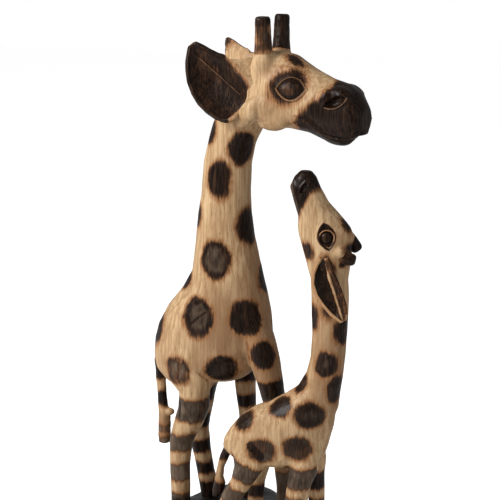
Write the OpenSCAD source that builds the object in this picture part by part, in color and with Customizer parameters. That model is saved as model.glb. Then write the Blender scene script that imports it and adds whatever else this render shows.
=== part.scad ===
// Carved giraffe mother and calf on one mound. Millimetres, +Z up, both bodies face +X.
// The origin is the centre of the mound's flat underside. Every piece is a separate carving:
// ears, horns and tails are glued in by round tenons, and dowels run from the hooves into the base.

/* [Base] */
// Height of the mound at its crown
base_height = 22; // [18:1:30]
// Radius of the shallow dome that crowns the mound
crown_radius = 460; // [380:10:900]

/* [Horns and ears] */
// Height of the mother's horns above the brow
mother_horn_height = 40; // [25:1:46]
// Length of the mother's ears from root to tip
mother_ear_length = 68; // [55:1:74]
// Width of the mother's ears
mother_ear_width = 58; // [44:1:64]
// Height of the calf's horns above the brow
calf_horn_height = 11; // [6:1:14]
// Length of the calf's ears from root to tip
calf_ear_length = 54; // [42:1:60]
// Width of the calf's ears
calf_ear_width = 27; // [20:1:32]

/* [Joints] */
// Diameter of the dowels between the hooves and the base
dowel_d = 6; // [4:0.5:7]
// Depth of a dowel below the top of the base
dowel_in_base = 11; // [8:1:12]
// Length of a dowel above the top of the base
dowel_in_leg = 26; // [15:1:32]
// Gap that the glue fills round each joint
glue_gap = 0.3; // [0.1:0.1:0.5]

/* [Hidden] */

wood = "burlywood";
scorched = "#4a3426";
black = "#242626";

// Sides of a carved limb's sections
limb_sides = 22;

// The mound's plan is the hull of these rounds: [x, y, radius]
base_rounds = [[-48, -8, 52], [28, -40, 52], [-22, 36, 42]];
crown_at = [-14, -8];

// A hoof's place on the base: [x, y]
mother_hooves = [[-70, 4], [-50, 40], [35, 4], [-6, 40]];
calf_hooves = [[-9, -54], [11, -22], [46, -54], [68, -22]];

// Carved sections, lowest first: [x, y, z, half length, half width]
mother_trunk = [
    [-66, 22, 150, 14, 16], [-64, 22, 155, 25, 23], [-58, 22, 164, 38, 28], [-50, 22, 178, 48, 31],
    [-40, 22, 194, 57, 31], [-38, 22, 208, 55, 31], [-34, 22, 226, 49, 30], [-29, 22, 245, 40, 28],
    [-26, 22, 262, 33, 26],
    [-27, 22, 280, 30, 24], [-28, 22, 296, 27.5, 22], [-28, 22, 316, 25, 20], [-27, 22, 338, 22.5, 19],
    [-25, 22, 366, 22, 18], [-21, 21, 384, 21.5, 18], [-15, 20, 400, 23, 19], [-8, 19, 424, 22, 20],
    [2, 16, 446, 16, 16]
];
mother_hind_right = [
    [-70, 4, 6, 11.5, 10], [-70, 4, 22, 9.5, 9], [-70, 4, 45, 9, 8.5], [-70, 4, 72, 9.5, 9],
    [-68, 4, 95, 11.5, 10], [-63, 4, 112, 14.5, 12], [-59, 5, 130, 15.5, 14], [-57, 7, 146, 18, 16],
    [-60, 10, 162, 26, 18], [-58, 15, 180, 34, 20], [-50, 20, 204, 30, 18]
];
mother_hind_left = [
    [-50, 40, 8, 10, 9], [-51, 40, 32, 9, 8.5], [-54, 40, 50, 8.5, 8], [-58, 40, 75, 9, 8.5],
    [-60, 40, 95, 9.5, 9], [-59, 40, 115, 12, 11], [-57, 39, 140, 16, 14], [-58, 36, 165, 26, 17],
    [-50, 28, 196, 28, 20]
];
mother_front_right = [
    [35, 4, 8, 10, 9], [34, 4, 32, 8, 8], [33, 4, 55, 7.5, 7.5], [31, 4, 78, 8, 8],
    [28, 4, 110, 9, 9], [23, 4, 140, 10.5, 10.5], [18, 5, 162, 12, 12], [12, 8, 182, 15, 15],
    [5, 12, 204, 16, 18], [-6, 18, 232, 14, 16]
];
mother_front_left = [
    [-6, 40, 8, 9.5, 9], [-7, 40, 45, 7.5, 8], [-9, 40, 75, 7.5, 8], [-11, 40, 110, 8, 8.5],
    [-13, 40, 140, 9.5, 10], [-13, 38, 165, 12, 13], [-6, 34, 190, 20, 16], [-10, 26, 222, 18, 14]
];
calf_trunk = [
    [30, -38, 105, 40, 18], [30, -38, 114, 47, 21], [32, -38, 122, 47.5, 22], [36, -38, 132, 46, 22],
    [42, -38, 144, 43, 22], [49, -38, 154, 37, 21], [57, -38, 160, 31, 20], [64, -38, 168, 25, 18],
    [71, -38, 178, 19, 17], [76, -38, 192, 16, 15], [79, -38, 208, 15, 14], [79.5, -38, 228, 15, 13],
    [79.5, -38, 258, 16, 12], [78.5, -38, 280, 16, 13], [77.5, -38, 292, 18.5, 14],
    [76.5, -38, 302, 20, 15], [74, -38, 318, 22, 15], [68, -38, 334, 17, 13], [61, -38, 347, 14, 11.5],
    [56.5, -38, 360, 13, 9.5], [56.5, -38, 369, 9, 7], [57, -38, 375, 4, 4]
];
calf_hind_right = [
    [-9, -54, 8, 10, 9], [-9, -54, 40, 8.5, 8], [-9, -54, 62, 9, 8.5], [-5, -54, 75, 11.5, 9.5],
    [3, -54, 89, 12, 10], [9, -52, 102, 15, 12], [14, -49, 116, 20, 12], [22, -44, 134, 16, 10]
];
calf_hind_left = [
    [11, -22, 8, 9, 8], [10, -22, 52, 7, 7], [11, -22, 74, 7.5, 7.5], [13, -24, 96, 13, 10],
    [16, -26, 110, 20, 11], [24, -32, 132, 16, 9]
];
calf_front_right = [
    [46, -54, 8, 10, 9], [49, -54, 40, 8.5, 8], [53, -54, 66, 9.5, 9], [57, -54, 91, 10.5, 10],
    [61, -52, 106, 13, 11], [60, -48, 122, 15, 11], [56, -42, 144, 12, 9]
];
calf_front_left = [
    [68, -22, 8, 9, 8], [68, -22, 52, 7, 7], [67, -22, 88, 7.5, 8], [64, -26, 106, 13, 10],
    [58, -32, 136, 14, 9]
];

// Mother's head, back to muzzle, in the head's own frame: [forward, height, half height, half width]
head_at = [-12, 22];
head_turn = -20;
mother_head = [
    [-4, 432, 14, 10], [6, 433, 27, 18], [20, 434, 32, 23], [38, 436, 34, 25], [54, 435, 32, 24],
    [72, 429, 28, 21], [92, 421, 28, 19], [108, 419, 25, 19], [119, 418, 19, 17], [127, 416, 9, 10]
];

// Tails, root first: [x, y, z, half length, half width]
mother_tail_sections = [
    [-93, 22, 172, 6, 6], [-92, 22, 160, 6, 6], [-90, 22, 146, 4.5, 4.5], [-90, 22, 128, 4.5, 4.5],
    [-88, 22, 116, 6.5, 6.5], [-88, 22, 102, 5.5, 5.5], [-90, 22, 94, 2.5, 2.5]
];
calf_tail_sections = [
    [-12, -38, 116, 5, 5], [-15, -38, 105, 5, 5], [-19, -38, 92, 3.5, 3.5], [-20.5, -38, 82, 3.5, 3.5],
    [-21, -38, 75, 5, 5], [-23, -38, 66, 3.5, 3.5], [-25, -38, 62, 2, 2]
];

mother_horn_d = [17, 13];
mother_tenon_d = 9;
calf_horn_d = [9, 7];
calf_tenon_d = 5;

// Top of the mound over a point on its plan
function mound_z(p) =
    base_height - crown_radius
    + sqrt(pow(crown_radius, 2) - pow(p[0] - crown_at[0], 2) - pow(p[1] - crown_at[1], 2));

// A limb hulled from one oval section to the next
module limb(sections) {
    for (i = [0 : len(sections) - 2])
        hull() {
            oval(sections[i]);
            oval(sections[i + 1]);
        }
}

module oval(s) {
    translate([s[0], s[1], s[2]])
        scale([s[3], s[4], 1])
            cylinder(h = 0.4, r = 1, center = true, $fn = limb_sides);
}

// A head hulled along its own length
module carved_head(sections) {
    for (i = [0 : len(sections) - 2])
        hull() {
            upright_oval(sections[i]);
            upright_oval(sections[i + 1]);
        }
}

module upright_oval(s) {
    translate([s[0], 0, s[1]])
        rotate([0, 90, 0])
            scale([s[2], s[3], 1])
                cylinder(h = 0.4, r = 1, center = true, $fn = limb_sides);
}

// The mother's head frame: +X runs to the muzzle, +Y to her left
module in_head() {
    translate([head_at[0], head_at[1], 0])
        rotate([0, 0, head_turn])
            children();
}

// Plan of the mound under its crown, made larger by grow
module mound(grow = 0) {
    intersection() {
        linear_extrude(height = base_height + grow)
            hull()
                for (r = base_rounds)
                    translate([r[0], r[1]])
                        circle(r = r[2], $fn = 96);
        translate([crown_at[0], crown_at[1], base_height - crown_radius])
            sphere(r = crown_radius + grow, $fn = 180);
    }
}

// Dowels under one animal's hooves, made larger by grow
module dowels(hooves, grow = 0) {
    for (p = hooves)
        translate([p[0], p[1], mound_z(p) - dowel_in_base - grow])
            cylinder(h = dowel_in_base + dowel_in_leg + 2 * grow, d = dowel_d + 2 * grow, $fn = 32);
}

// A horn standing on the origin, with its tenon below
module horn(height, d, tenon_d, tenon_length, grow = 0) {
    cylinder(h = height - d[1] / 4, d1 = d[0] + 2 * grow, d2 = d[1] + 2 * grow, $fn = 48);
    translate([0, 0, height - d[1] / 4])
        cylinder(h = d[1] / 4, d1 = d[1] + 2 * grow, d2 = d[1] * 0.7 + 2 * grow, $fn = 48);
    translate([0, 0, -tenon_length - grow])
        cylinder(h = tenon_length + grow + 1, d = tenon_d + 2 * grow, $fn = 32);
}

// Half width of a leaf-shaped ear, as a share of its full half width, at a share t of its length
function leaf(t) = pow(sin(180 * pow(t, 0.8)), 0.8);

// An ear lying on the XY plane: root at the origin, tip on +X, hollow face up, tenon down
module ear(length, width, shell, cup_radius, tenon_d, tenon_length, grow = 0) {
    steps = 18;
    outline = concat(
        [for (i = [0 : steps]) [length * i / steps, width / 2 * leaf(i / steps)]],
        [for (i = [steps - 1 : -1 : 1]) [length * i / steps, -width / 2 * leaf(i / steps)]]
    );
    root_z = cup_radius - sqrt(pow(cup_radius, 2) - pow(0.45 * length, 2)) + shell / 2;
    translate([0, 0, -root_z]) {
        difference() {
            intersection() {
                linear_extrude(height = root_z + shell)
                    polygon(outline);
                translate([0.45 * length, 0, cup_radius])
                    sphere(r = cup_radius + grow, $fn = 80);
            }
            translate([0.45 * length, 0, cup_radius])
                sphere(r = cup_radius - shell - grow, $fn = 80);
        }
        translate([tenon_d, 0, root_z - shell / 2 - tenon_length - grow])
            cylinder(h = tenon_length + grow, d = tenon_d + 2 * grow, $fn = 32);
    }
}

module mother_ear(grow = 0) {
    ear(mother_ear_length, mother_ear_width, 6, 56, mother_tenon_d, 12, grow);
}

module calf_ear(grow = 0) {
    ear(calf_ear_length, calf_ear_width, 4.5, 60, calf_tenon_d, 6, grow);
}

// side is 1 for the mother's right, -1 for her left
module place_mother_ear(side) {
    in_head()
        scale([1, side, 1])
            translate([24, -25, 425])
                rotate([0, 0, 22])
                    rotate([0, -129, 0])
                        rotate([90, 0, 0])
                            children();
}

module place_mother_horn(side) {
    in_head()
        scale([1, side, 1])
            translate([31, -14, 459])
                rotate([5, -3, 0])
                    children();
}

// The calf looks back over its shoulder, so its left side (side 1) is towards -Y
module place_calf_ear(side) {
    translate([0, -38, 0])
        scale([1, side, 1])
            translate([76, -15, 298])
                rotate([0, 0, -6])
                    rotate([0, 70, 0])
                        rotate([90, 0, 0])
                            children();
}

module place_calf_horn(side) {
    translate([0, -38, 0])
        scale([1, side, 1])
            translate([94, -7, 305 - 5 * side])
                rotate([8, 82, 0])
                    children();
}

module mother_horn(grow = 0) {
    horn(mother_horn_height, mother_horn_d, mother_tenon_d, 14, grow);
}

module calf_horn(grow = 0) {
    horn(calf_horn_height, calf_horn_d, calf_tenon_d, 7, grow);
}

// Tail hung from the rump, with a tenon running forward and up into it
module tail(sections, tenon_d, tenon_length, grow = 0) {
    limb([for (s = sections) [s[0], s[1], s[2], s[3] + grow, s[4] + grow]]);
    translate([sections[0][0], sections[0][1], sections[0][2] - tenon_d / 2])
        rotate([0, 65, 0])
            cylinder(h = tenon_length + grow, d = tenon_d + 2 * grow, $fn = 24);
}

module mother_tail_piece(grow = 0) {
    tail(mother_tail_sections, 8, 18, grow);
}

module calf_tail_piece(grow = 0) {
    tail(calf_tail_sections, 5, 12, grow);
}

module base() {
    color(black)
        difference() {
            mound();
            dowels(mother_hooves, glue_gap / 2);
            dowels(calf_hooves, glue_gap / 2);
        }
}

module mother_body() {
    color(wood)
        difference() {
            union() {
                limb(mother_trunk);
                limb(mother_hind_right);
                limb(mother_hind_left);
                limb(mother_front_right);
                limb(mother_front_left);
                in_head()
                    carved_head(mother_head);
            }
            mound(glue_gap);
            dowels(mother_hooves, glue_gap);
            mother_tail_piece(glue_gap);
            for (side = [1, -1]) {
                place_mother_ear(side)
                    mother_ear(glue_gap);
                place_mother_horn(side)
                    mother_horn(glue_gap);
            }
        }
}

module mother_horn_right() {
    color(scorched)
        place_mother_horn(1)
            mother_horn();
}

module mother_horn_left() {
    color(scorched)
        place_mother_horn(-1)
            mother_horn();
}

module mother_ear_right() {
    color(scorched)
        place_mother_ear(1)
            mother_ear();
}

module mother_ear_left() {
    color(scorched)
        place_mother_ear(-1)
            mother_ear();
}

module mother_tail() {
    color(wood)
        mother_tail_piece();
}

module calf_body() {
    color(wood)
        difference() {
            union() {
                limb(calf_trunk);
                limb(calf_hind_right);
                limb(calf_hind_left);
                limb(calf_front_right);
                limb(calf_front_left);
            }
            mound(glue_gap);
            dowels(calf_hooves, glue_gap);
            calf_tail_piece(glue_gap);
            for (side = [1, -1]) {
                place_calf_ear(side)
                    calf_ear(glue_gap);
                place_calf_horn(side)
                    calf_horn(glue_gap);
            }
        }
}

module calf_horn_left() {
    color(scorched)
        place_calf_horn(1)
            calf_horn();
}

module calf_horn_right() {
    color(scorched)
        place_calf_horn(-1)
            calf_horn();
}

module calf_ear_left() {
    color(scorched)
        place_calf_ear(1)
            calf_ear();
}

module calf_ear_right() {
    color(scorched)
        place_calf_ear(-1)
            calf_ear();
}

module calf_tail() {
    color(wood)
        calf_tail_piece();
}

// One dowel up each leg and down into the base
module foot_dowels() {
    color("tan") {
        dowels(mother_hooves);
        dowels(calf_hooves);
    }
}

base();
mother_body();
mother_horn_right();
mother_horn_left();
mother_ear_right();
mother_ear_left();
mother_tail();
calf_body();
calf_horn_right();
calf_horn_left();
calf_ear_right();
calf_ear_left();
calf_tail();
foot_dowels();
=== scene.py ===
import math

import bpy
import numpy as np
from mathutils import Matrix, Vector, noise


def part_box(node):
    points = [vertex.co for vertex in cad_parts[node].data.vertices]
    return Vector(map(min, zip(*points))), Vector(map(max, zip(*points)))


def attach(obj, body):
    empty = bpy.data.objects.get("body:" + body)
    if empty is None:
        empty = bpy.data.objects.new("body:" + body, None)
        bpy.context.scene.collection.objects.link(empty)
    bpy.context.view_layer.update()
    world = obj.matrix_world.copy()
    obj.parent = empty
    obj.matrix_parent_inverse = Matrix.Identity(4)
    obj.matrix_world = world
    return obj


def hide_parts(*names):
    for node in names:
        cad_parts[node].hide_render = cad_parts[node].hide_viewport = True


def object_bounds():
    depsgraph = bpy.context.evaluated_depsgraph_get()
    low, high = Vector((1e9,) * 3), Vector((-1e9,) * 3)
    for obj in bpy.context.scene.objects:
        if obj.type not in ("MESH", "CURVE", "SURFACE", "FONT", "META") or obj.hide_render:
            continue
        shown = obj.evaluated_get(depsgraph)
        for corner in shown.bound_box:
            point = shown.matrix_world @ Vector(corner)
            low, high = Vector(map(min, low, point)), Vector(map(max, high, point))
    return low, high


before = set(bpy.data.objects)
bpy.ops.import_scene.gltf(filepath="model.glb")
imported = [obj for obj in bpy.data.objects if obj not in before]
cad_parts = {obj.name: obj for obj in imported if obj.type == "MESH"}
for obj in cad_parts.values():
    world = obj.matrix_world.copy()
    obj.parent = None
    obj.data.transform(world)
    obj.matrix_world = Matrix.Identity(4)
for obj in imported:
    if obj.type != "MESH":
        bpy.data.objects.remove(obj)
cad_low, cad_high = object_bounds()
mm = 0.001


# ---- Viewpoint, floor and light ---------------------------------------------------------------
# A small studio table: white paper under the statue, a large soft light from the upper left and a
# weak one from the right to open up the shadows. The camera stands a little above the horns and
# looks down. Paper and air look white but light the statue only faintly.

stand = Vector((0, 0, cad_low.z))
statue_height = cad_high.z - cad_low.z
camera_bearing = math.radians(12)
camera_distance = 1070 * mm
camera_height = 590 * mm
camera_dip = math.radians(15.65)

bpy.context.scene.view_settings.view_transform = "Standard"

camera_data = bpy.data.cameras.new("studio_camera")
camera_data.sensor_width = 36
camera_data.lens = 88.34
camera_data.clip_start = 0.05
camera = bpy.data.objects.new("studio_camera", camera_data)
camera.location = stand + Vector((
    math.sin(camera_bearing) * camera_distance,
    -math.cos(camera_bearing) * camera_distance,
    camera_height))
camera.rotation_euler = (math.pi / 2 - camera_dip, 0, camera_bearing)
bpy.context.collection.objects.link(camera)
bpy.context.scene.camera = camera

bpy.ops.object.select_all(action="DESELECT")
bpy.ops.mesh.primitive_plane_add(size=8, location=stand)
floor = bpy.context.object
floor.name = "paper_floor"
paper = bpy.data.materials.new("white_paper")
paper.use_nodes = True
paper_seen = paper.node_tree.nodes.new("ShaderNodeLightPath")
faint_glow = paper.node_tree.nodes.new("ShaderNodeMath")
faint_glow.operation = "MULTIPLY"
faint_glow.inputs[1].default_value = 0.70
sheet = paper.node_tree.nodes["Principled BSDF"].inputs
sheet["Base Color"].default_value = (0.9, 0.9, 0.9, 1)
sheet["Roughness"].default_value = 0.9
sheet["Emission Color"].default_value = (1, 1, 1, 1)
paper.node_tree.links.new(paper_seen.outputs["Is Camera Ray"], faint_glow.inputs[0])
paper.node_tree.links.new(faint_glow.outputs[0], sheet["Emission Strength"])
floor.data.materials.append(paper)

world = bpy.data.worlds.new("studio_air")
world.use_nodes = True
air = world.node_tree
air.nodes["Background"].inputs["Color"].default_value = (1, 1, 1, 1)
seen = air.nodes.new("ShaderNodeLightPath")
brightness = air.nodes.new("ShaderNodeMapRange")
brightness.inputs["To Min"].default_value = 0.31
brightness.inputs["To Max"].default_value = 1.0
air.links.new(seen.outputs["Is Camera Ray"], brightness.inputs["Value"])
air.links.new(brightness.outputs["Result"], air.nodes["Background"].inputs["Strength"])
bpy.context.scene.world = world


def studio_light(name, bearing, height, distance, size, power):
    """A square area light that faces the statue's middle."""
    lamp = bpy.data.lights.new(name, "AREA")
    lamp.energy = power
    lamp.size = size
    holder = bpy.data.objects.new(name, lamp)
    turn = math.radians(bearing)
    holder.location = stand + Vector((
        math.sin(turn) * distance, -math.cos(turn) * distance, height))
    aim = stand + Vector((0, 0, statue_height * 0.6)) - holder.location
    holder.rotation_euler = aim.to_track_quat("-Z", "Y").to_euler()
    bpy.context.collection.objects.link(holder)


studio_light("key_light", bearing=-52, height=1.0, distance=1.1, size=0.6, power=20)
studio_light("fill_light", bearing=60, height=0.6, distance=1.4, size=1.0, power=1.5)


# ---- Base -------------------------------------------------------------------------------------
# A low rounded mound of wood, hand carved and stained black. Its outline wraps three
# round corners, its flat underside rests on the table, and it rises to a soft crown on which the
# hooves stand, let in a little.

# Round corners of the outline: (x, y, radius) in mm
mound_rounds = [(-48, -8, 50), (28, -40, 50), (-22, 36, 41)]
mound_crown = Vector((5, 10))
mound_crown_height = 28
mound_crown_radius = 330


def finish(name):
    """A new material, its node tree, and its surface shader."""
    made = bpy.data.materials.new(name)
    made.use_nodes = True
    return made, made.node_tree, made.node_tree.nodes["Principled BSDF"]


def plain(tree, kind, **settings):
    """Adds a shader node and sets its own properties and its unlinked inputs by name."""
    made = tree.nodes.new(kind)
    for key, value in settings.items():
        if hasattr(made, key):
            setattr(made, key, value)
        else:
            made.inputs[key.replace("_", " ")].default_value = value
    return made


def streaks(tree, across, along, detail=4.0, distortion=0.0):
    """Noise drawn out along Z, as wood fibre is: streaks per metre across and along the grain."""
    place = plain(tree, "ShaderNodeTexCoord")
    draw_out = plain(tree, "ShaderNodeMapping", Scale=(across, across, along))
    fibre = plain(tree, "ShaderNodeTexNoise", Scale=1.0, Detail=detail, Distortion=distortion)
    tree.links.new(place.outputs["Object"], draw_out.inputs["Vector"])
    tree.links.new(draw_out.outputs["Vector"], fibre.inputs["Vector"])
    return fibre.outputs["Fac"]


def between(tree, value, low, high, to_low=0.0, to_high=1.0):
    """Rescales a value, smoothly, from low..high to to_low..to_high."""
    scale = plain(tree, "ShaderNodeMapRange", interpolation_type="SMOOTHSTEP")
    tree.links.new(value, scale.inputs["Value"])
    ends = {"From Min": low, "From Max": high, "To Min": to_low, "To Max": to_high}
    for socket, number in ends.items():
        scale.inputs[socket].default_value = number
    return scale.outputs["Result"]


def sum_of(tree, first, second, share=1.0):
    """first + second * share."""
    add = plain(tree, "ShaderNodeMath", operation="MULTIPLY_ADD")
    tree.links.new(second, add.inputs[0])
    add.inputs[1].default_value = share
    tree.links.new(first, add.inputs[2])
    return add.outputs[0]


def tinted(tree, under, over, amount):
    """Lays one colour over another. A colour is a socket or an (r, g, b)."""
    mix = plain(tree, "ShaderNodeMix", data_type="RGBA")
    for socket, colour in ((mix.inputs[6], under), (mix.inputs[7], over)):
        if isinstance(colour, tuple):
            socket.default_value = (*colour, 1)
        else:
            tree.links.new(colour, socket)
    tree.links.new(amount, mix.inputs[0])
    return mix.outputs[2]


def black_stain():
    """Black wood stain over gouged wood: dull in the hollows, rubbed and brownish on high spots."""
    made, tree, skin = finish("black_stained_wood")
    patches = streaks(tree, 60, 60, detail=6)
    fibre = streaks(tree, 500, 120, detail=5)
    colour = tinted(tree, (0.010, 0.011, 0.011), (0.028, 0.028, 0.027), between(tree, patches, 0.35, 0.7))
    rubbed = between(tree, sum_of(tree, patches, fibre, 0.6), 0.92, 1.05)
    colour = tinted(tree, colour, (0.085, 0.060, 0.042), rubbed)
    tree.links.new(colour, skin.inputs["Base Color"])
    tree.links.new(between(tree, patches, 0.3, 0.7, 0.34, 0.6), skin.inputs["Roughness"])
    relief = plain(tree, "ShaderNodeBump", Strength=0.6, Distance=0.0006)
    tree.links.new(sum_of(tree, patches, fibre, 0.5), relief.inputs["Height"])
    tree.links.new(relief.outputs["Normal"], skin.inputs["Normal"])
    return made


def mesh_points(piece):
    """The piece's vertices in mm, as an array of rows."""
    flat = np.empty(len(piece.data.vertices) * 3)
    piece.data.vertices.foreach_get("co", flat)
    return flat.reshape(-1, 3) / mm


def move_mesh_points(piece, points):
    """Puts the piece's vertices at new places, given in mm."""
    piece.data.vertices.foreach_set("co", (points * mm).ravel())
    piece.data.update()


def ripple(points, size, seed):
    """Soft random waves, from -1 to 1, about size mm across: the unevenness of a hand-held gouge."""
    drift = Vector((seed * 17.3, seed * 5.1, seed * 9.7))
    return np.array([noise.noise(Vector(p) / size + drift) for p in points])


def joined(parts):
    """Makes one object of several."""
    bpy.ops.object.select_all(action="DESELECT")
    for part in parts:
        part.select_set(True)
    bpy.context.view_layer.objects.active = parts[0]
    bpy.ops.object.join()
    return bpy.context.object


def worked(piece, kind, **settings):
    """Puts a modifier on the active piece, sets it and applies it."""
    change = piece.modifiers.new(kind.lower(), kind)
    for key, value in settings.items():
        setattr(change, key, value)
    bpy.ops.object.modifier_apply(modifier=change.name)


def blend_block(name, limbs, grain_of_mesh, smoothing):
    """Joins roughed-out solids into one skin and works their edges over until they flow."""
    block = joined(limbs)
    block.name = name
    block.data.name = name
    worked(block, "REMESH", mode="VOXEL", voxel_size=grain_of_mesh * mm)
    worked(block, "SMOOTH", factor=0.5, iterations=smoothing)
    bpy.ops.object.shade_smooth()
    return block


base_low, base_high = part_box("base")
base_height = (base_high.z - base_low.z) / mm
rounds = []
for x, y, radius in mound_rounds:
    bpy.ops.object.select_all(action="DESELECT")
    bpy.ops.mesh.primitive_cylinder_add(
        vertices=48, radius=radius * mm, depth=base_height * mm,
        location=(x * mm, y * mm, base_low.z + base_height * mm / 2))
    bpy.ops.object.transform_apply()
    rounds.append(bpy.context.object)
outline = joined(rounds)
bpy.ops.object.mode_set(mode="EDIT")
bpy.ops.mesh.select_all(action="SELECT")
bpy.ops.mesh.convex_hull()
bpy.ops.object.mode_set(mode="OBJECT")
mound = blend_block("black_mound", [outline], grain_of_mesh=2.0, smoothing=14)
points = mesh_points(mound)
reach = np.hypot(points[:, 0] - mound_crown.x, points[:, 1] - mound_crown.y)
crown = mound_crown_height - mound_crown_radius + np.sqrt(mound_crown_radius ** 2 - reach ** 2)
lift = np.clip(points[:, 2] / base_height, 0, 1)
points[:, 2] *= crown / base_height
points[:, 2] += lift * (1.1 * ripple(points, 16, 1) + 0.5 * ripple(points, 6, 2)) - 0.3 * lift
points[:, 0] += 1.2 * lift * ripple(points, 22, 3)
points[:, 1] += 1.2 * lift * ripple(points, 22, 4)
points[:, 2] = np.maximum(points[:, 2], 0)
move_mesh_points(mound, points)
mound.data.materials.append(black_stain())
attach(mound, "root")
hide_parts("base")


# ---- Mother's body ----------------------------------------------------------------------------
# Trunk, neck, head and legs, carved from one block of pale close-grained wood: roughed out as rows
# of oval sections, smoothed over, and the face cut in with a knife. The spots and leg bands are
# burnt on with a hot iron, some are scraped back, and the whole is waxed.

def rough_out(name, sections, turned=False):
    """One limb, extruded from section to section: (x, y, z, half length, half width) in mm.

    Sections lie flat, or stand across the X axis when turned (then the halves are height, width).
    """
    bpy.ops.object.select_all(action="DESELECT")
    x, y, z, first_half, second_half = sections[0]
    tilt = (0, math.pi / 2, 0) if turned else (0, 0, 0)
    bpy.ops.mesh.primitive_circle_add(
        vertices=24, radius=mm, fill_type="NGON", location=(x * mm, y * mm, z * mm), rotation=tilt)
    limb = bpy.context.object
    limb.name = name
    bpy.ops.object.transform_apply()
    bpy.ops.object.mode_set(mode="EDIT")
    bpy.ops.mesh.select_all(action="SELECT")
    here = Vector((x, y, z)) * mm
    stretch = (1, second_half, first_half) if turned else (first_half, second_half, 1)
    bpy.ops.transform.resize(value=stretch, center_override=here)
    for section in sections[1:]:
        there = Vector(section[:3]) * mm
        bpy.ops.mesh.extrude_region_move(TRANSFORM_OT_translate={"value": there - here})
        grow_first = section[3] / first_half
        grow_second = section[4] / second_half
        stretch = (1, grow_second, grow_first) if turned else (grow_first, grow_second, 1)
        bpy.ops.transform.resize(value=stretch, center_override=there)
        here = there
        first_half, second_half = section[3], section[4]
    bpy.ops.mesh.select_all(action="SELECT")
    bpy.ops.mesh.normals_make_consistent(inside=False)
    bpy.ops.object.mode_set(mode="OBJECT")
    return limb


def lump(centre, halves, tip=0.0):
    """An egg of wood left standing on the block, such as a cheek or a brow: mm, tipped about Y."""
    bpy.ops.object.select_all(action="DESELECT")
    bpy.ops.mesh.primitive_uv_sphere_add(
        segments=24, ring_count=14, radius=mm, location=[c * mm for c in centre], scale=halves,
        rotation=(0, math.radians(tip), 0))
    bump = bpy.context.object
    bpy.ops.object.transform_apply()
    return bump


def turn_about(piece, pivot, degrees, axis="Z"):
    """Turns a piece's mesh about a point given in mm."""
    turn = Matrix.Rotation(math.radians(degrees), 4, axis)
    to_pivot = Matrix.Translation(Vector(pivot) * mm)
    piece.data.transform(to_pivot @ turn @ to_pivot.inverted())


def refine(piece, chosen, cuts):
    """Splits the faces whose middles are chosen, so that a fine detail can be cut there."""
    middles = np.empty(len(piece.data.polygons) * 3)
    piece.data.polygons.foreach_get("center", middles)
    picked = chosen(middles.reshape(-1, 3) / mm)
    bpy.ops.object.select_all(action="DESELECT")
    piece.select_set(True)
    bpy.context.view_layer.objects.active = piece
    bpy.ops.object.mode_set(mode="EDIT")
    bpy.ops.mesh.select_mode(type="FACE")
    bpy.ops.mesh.select_all(action="DESELECT")
    bpy.ops.object.mode_set(mode="OBJECT")
    piece.data.polygons.foreach_set("select", picked)
    bpy.ops.object.mode_set(mode="EDIT")
    bpy.ops.mesh.subdivide(number_cuts=cuts, smoothness=1.0)
    bpy.ops.object.mode_set(mode="OBJECT")


def cut_in(piece, height_at):
    """Carves a piece: every point moves along its own normal by height_at(points), in mm."""
    points = mesh_points(piece)
    facing = np.empty(points.size)
    piece.data.vertices.foreach_get("normal", facing)
    facing = facing.reshape(-1, 3)
    move_mesh_points(piece, points + facing * height_at(points)[:, None])


def almond(along, up, centre, halves, tilt, point=0.5):
    """How far out a place is in an almond-shaped opening: 0 in its middle, 1 at its rim."""
    turn = math.radians(tilt)
    along = along - centre[0]
    up = up - centre[1]
    forward = np.abs(along * math.cos(turn) + up * math.sin(turn)) / halves[0]
    upward = np.abs(up * math.cos(turn) - along * math.sin(turn)) / halves[1]
    pointed = (upward + np.sqrt(upward ** 2 + 4 * forward ** 2)) / 2
    return point * pointed + (1 - point) * np.hypot(forward, upward)


def from_spots(points, spots):
    """Depth in mm inside the nearest burnt spot: (x, y, z, half width, half height)."""
    depth = np.full(len(points), -40.0)
    for x, y, z, across, high in spots:
        away = (points - (x, y, z)) / (across, across, high)
        depth = np.maximum(depth, (1 - np.linalg.norm(away, axis=1)) * min(across, high))
    return depth


def from_bands(points, bands):
    """Depth in mm inside the nearest band burnt round a leg: (x, y, z, reach, half height, slope)."""
    depth = np.full(len(points), -40.0)
    for x, y, z, reach, high, slope in bands:
        near = np.hypot(points[:, 0] - x, points[:, 1] - y) < reach
        inside = high - np.abs(points[:, 2] - z - slope * (points[:, 0] - x))
        depth = np.where(near, np.maximum(depth, inside), depth)
    return depth


def paint(piece, **layers):
    """Stores numbers on the points of a piece, one for all or one each, for its material to read."""
    for name, values in layers.items():
        values = np.broadcast_to(values, len(piece.data.vertices)).astype(np.float32)
        layer = piece.data.attributes.new(name, "FLOAT", "POINT")
        layer.data.foreach_set("value", values)


def darkened_where(burn, place, depth):
    """The burn layer (which also carries painted shade), made as deep as depth wherever place holds."""
    return np.where(place, np.maximum(burn, depth), burn)


def as_burn(depth):
    """Turns mm inside a burnt patch (and inside a patch of painted shade) into the 0 to 1 that the
    material reads: 0.5 is the edge.
    """
    return np.clip(0.5 + depth / 18, 0, 1)


def along_cut(points, start, end, width):
    """1 on a knife cut from start to end, each (x, z) in mm, fading to 0 over its width."""
    begin = np.array(start, dtype=float)
    run = np.array(end, dtype=float) - begin
    flat = points[:, (0, 2)] - begin
    share = np.clip(flat @ run / (run @ run), 0, 1)
    away = np.linalg.norm(flat - share[:, None] * run, axis=1)
    return np.exp(-(away / width) ** 2)


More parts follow.
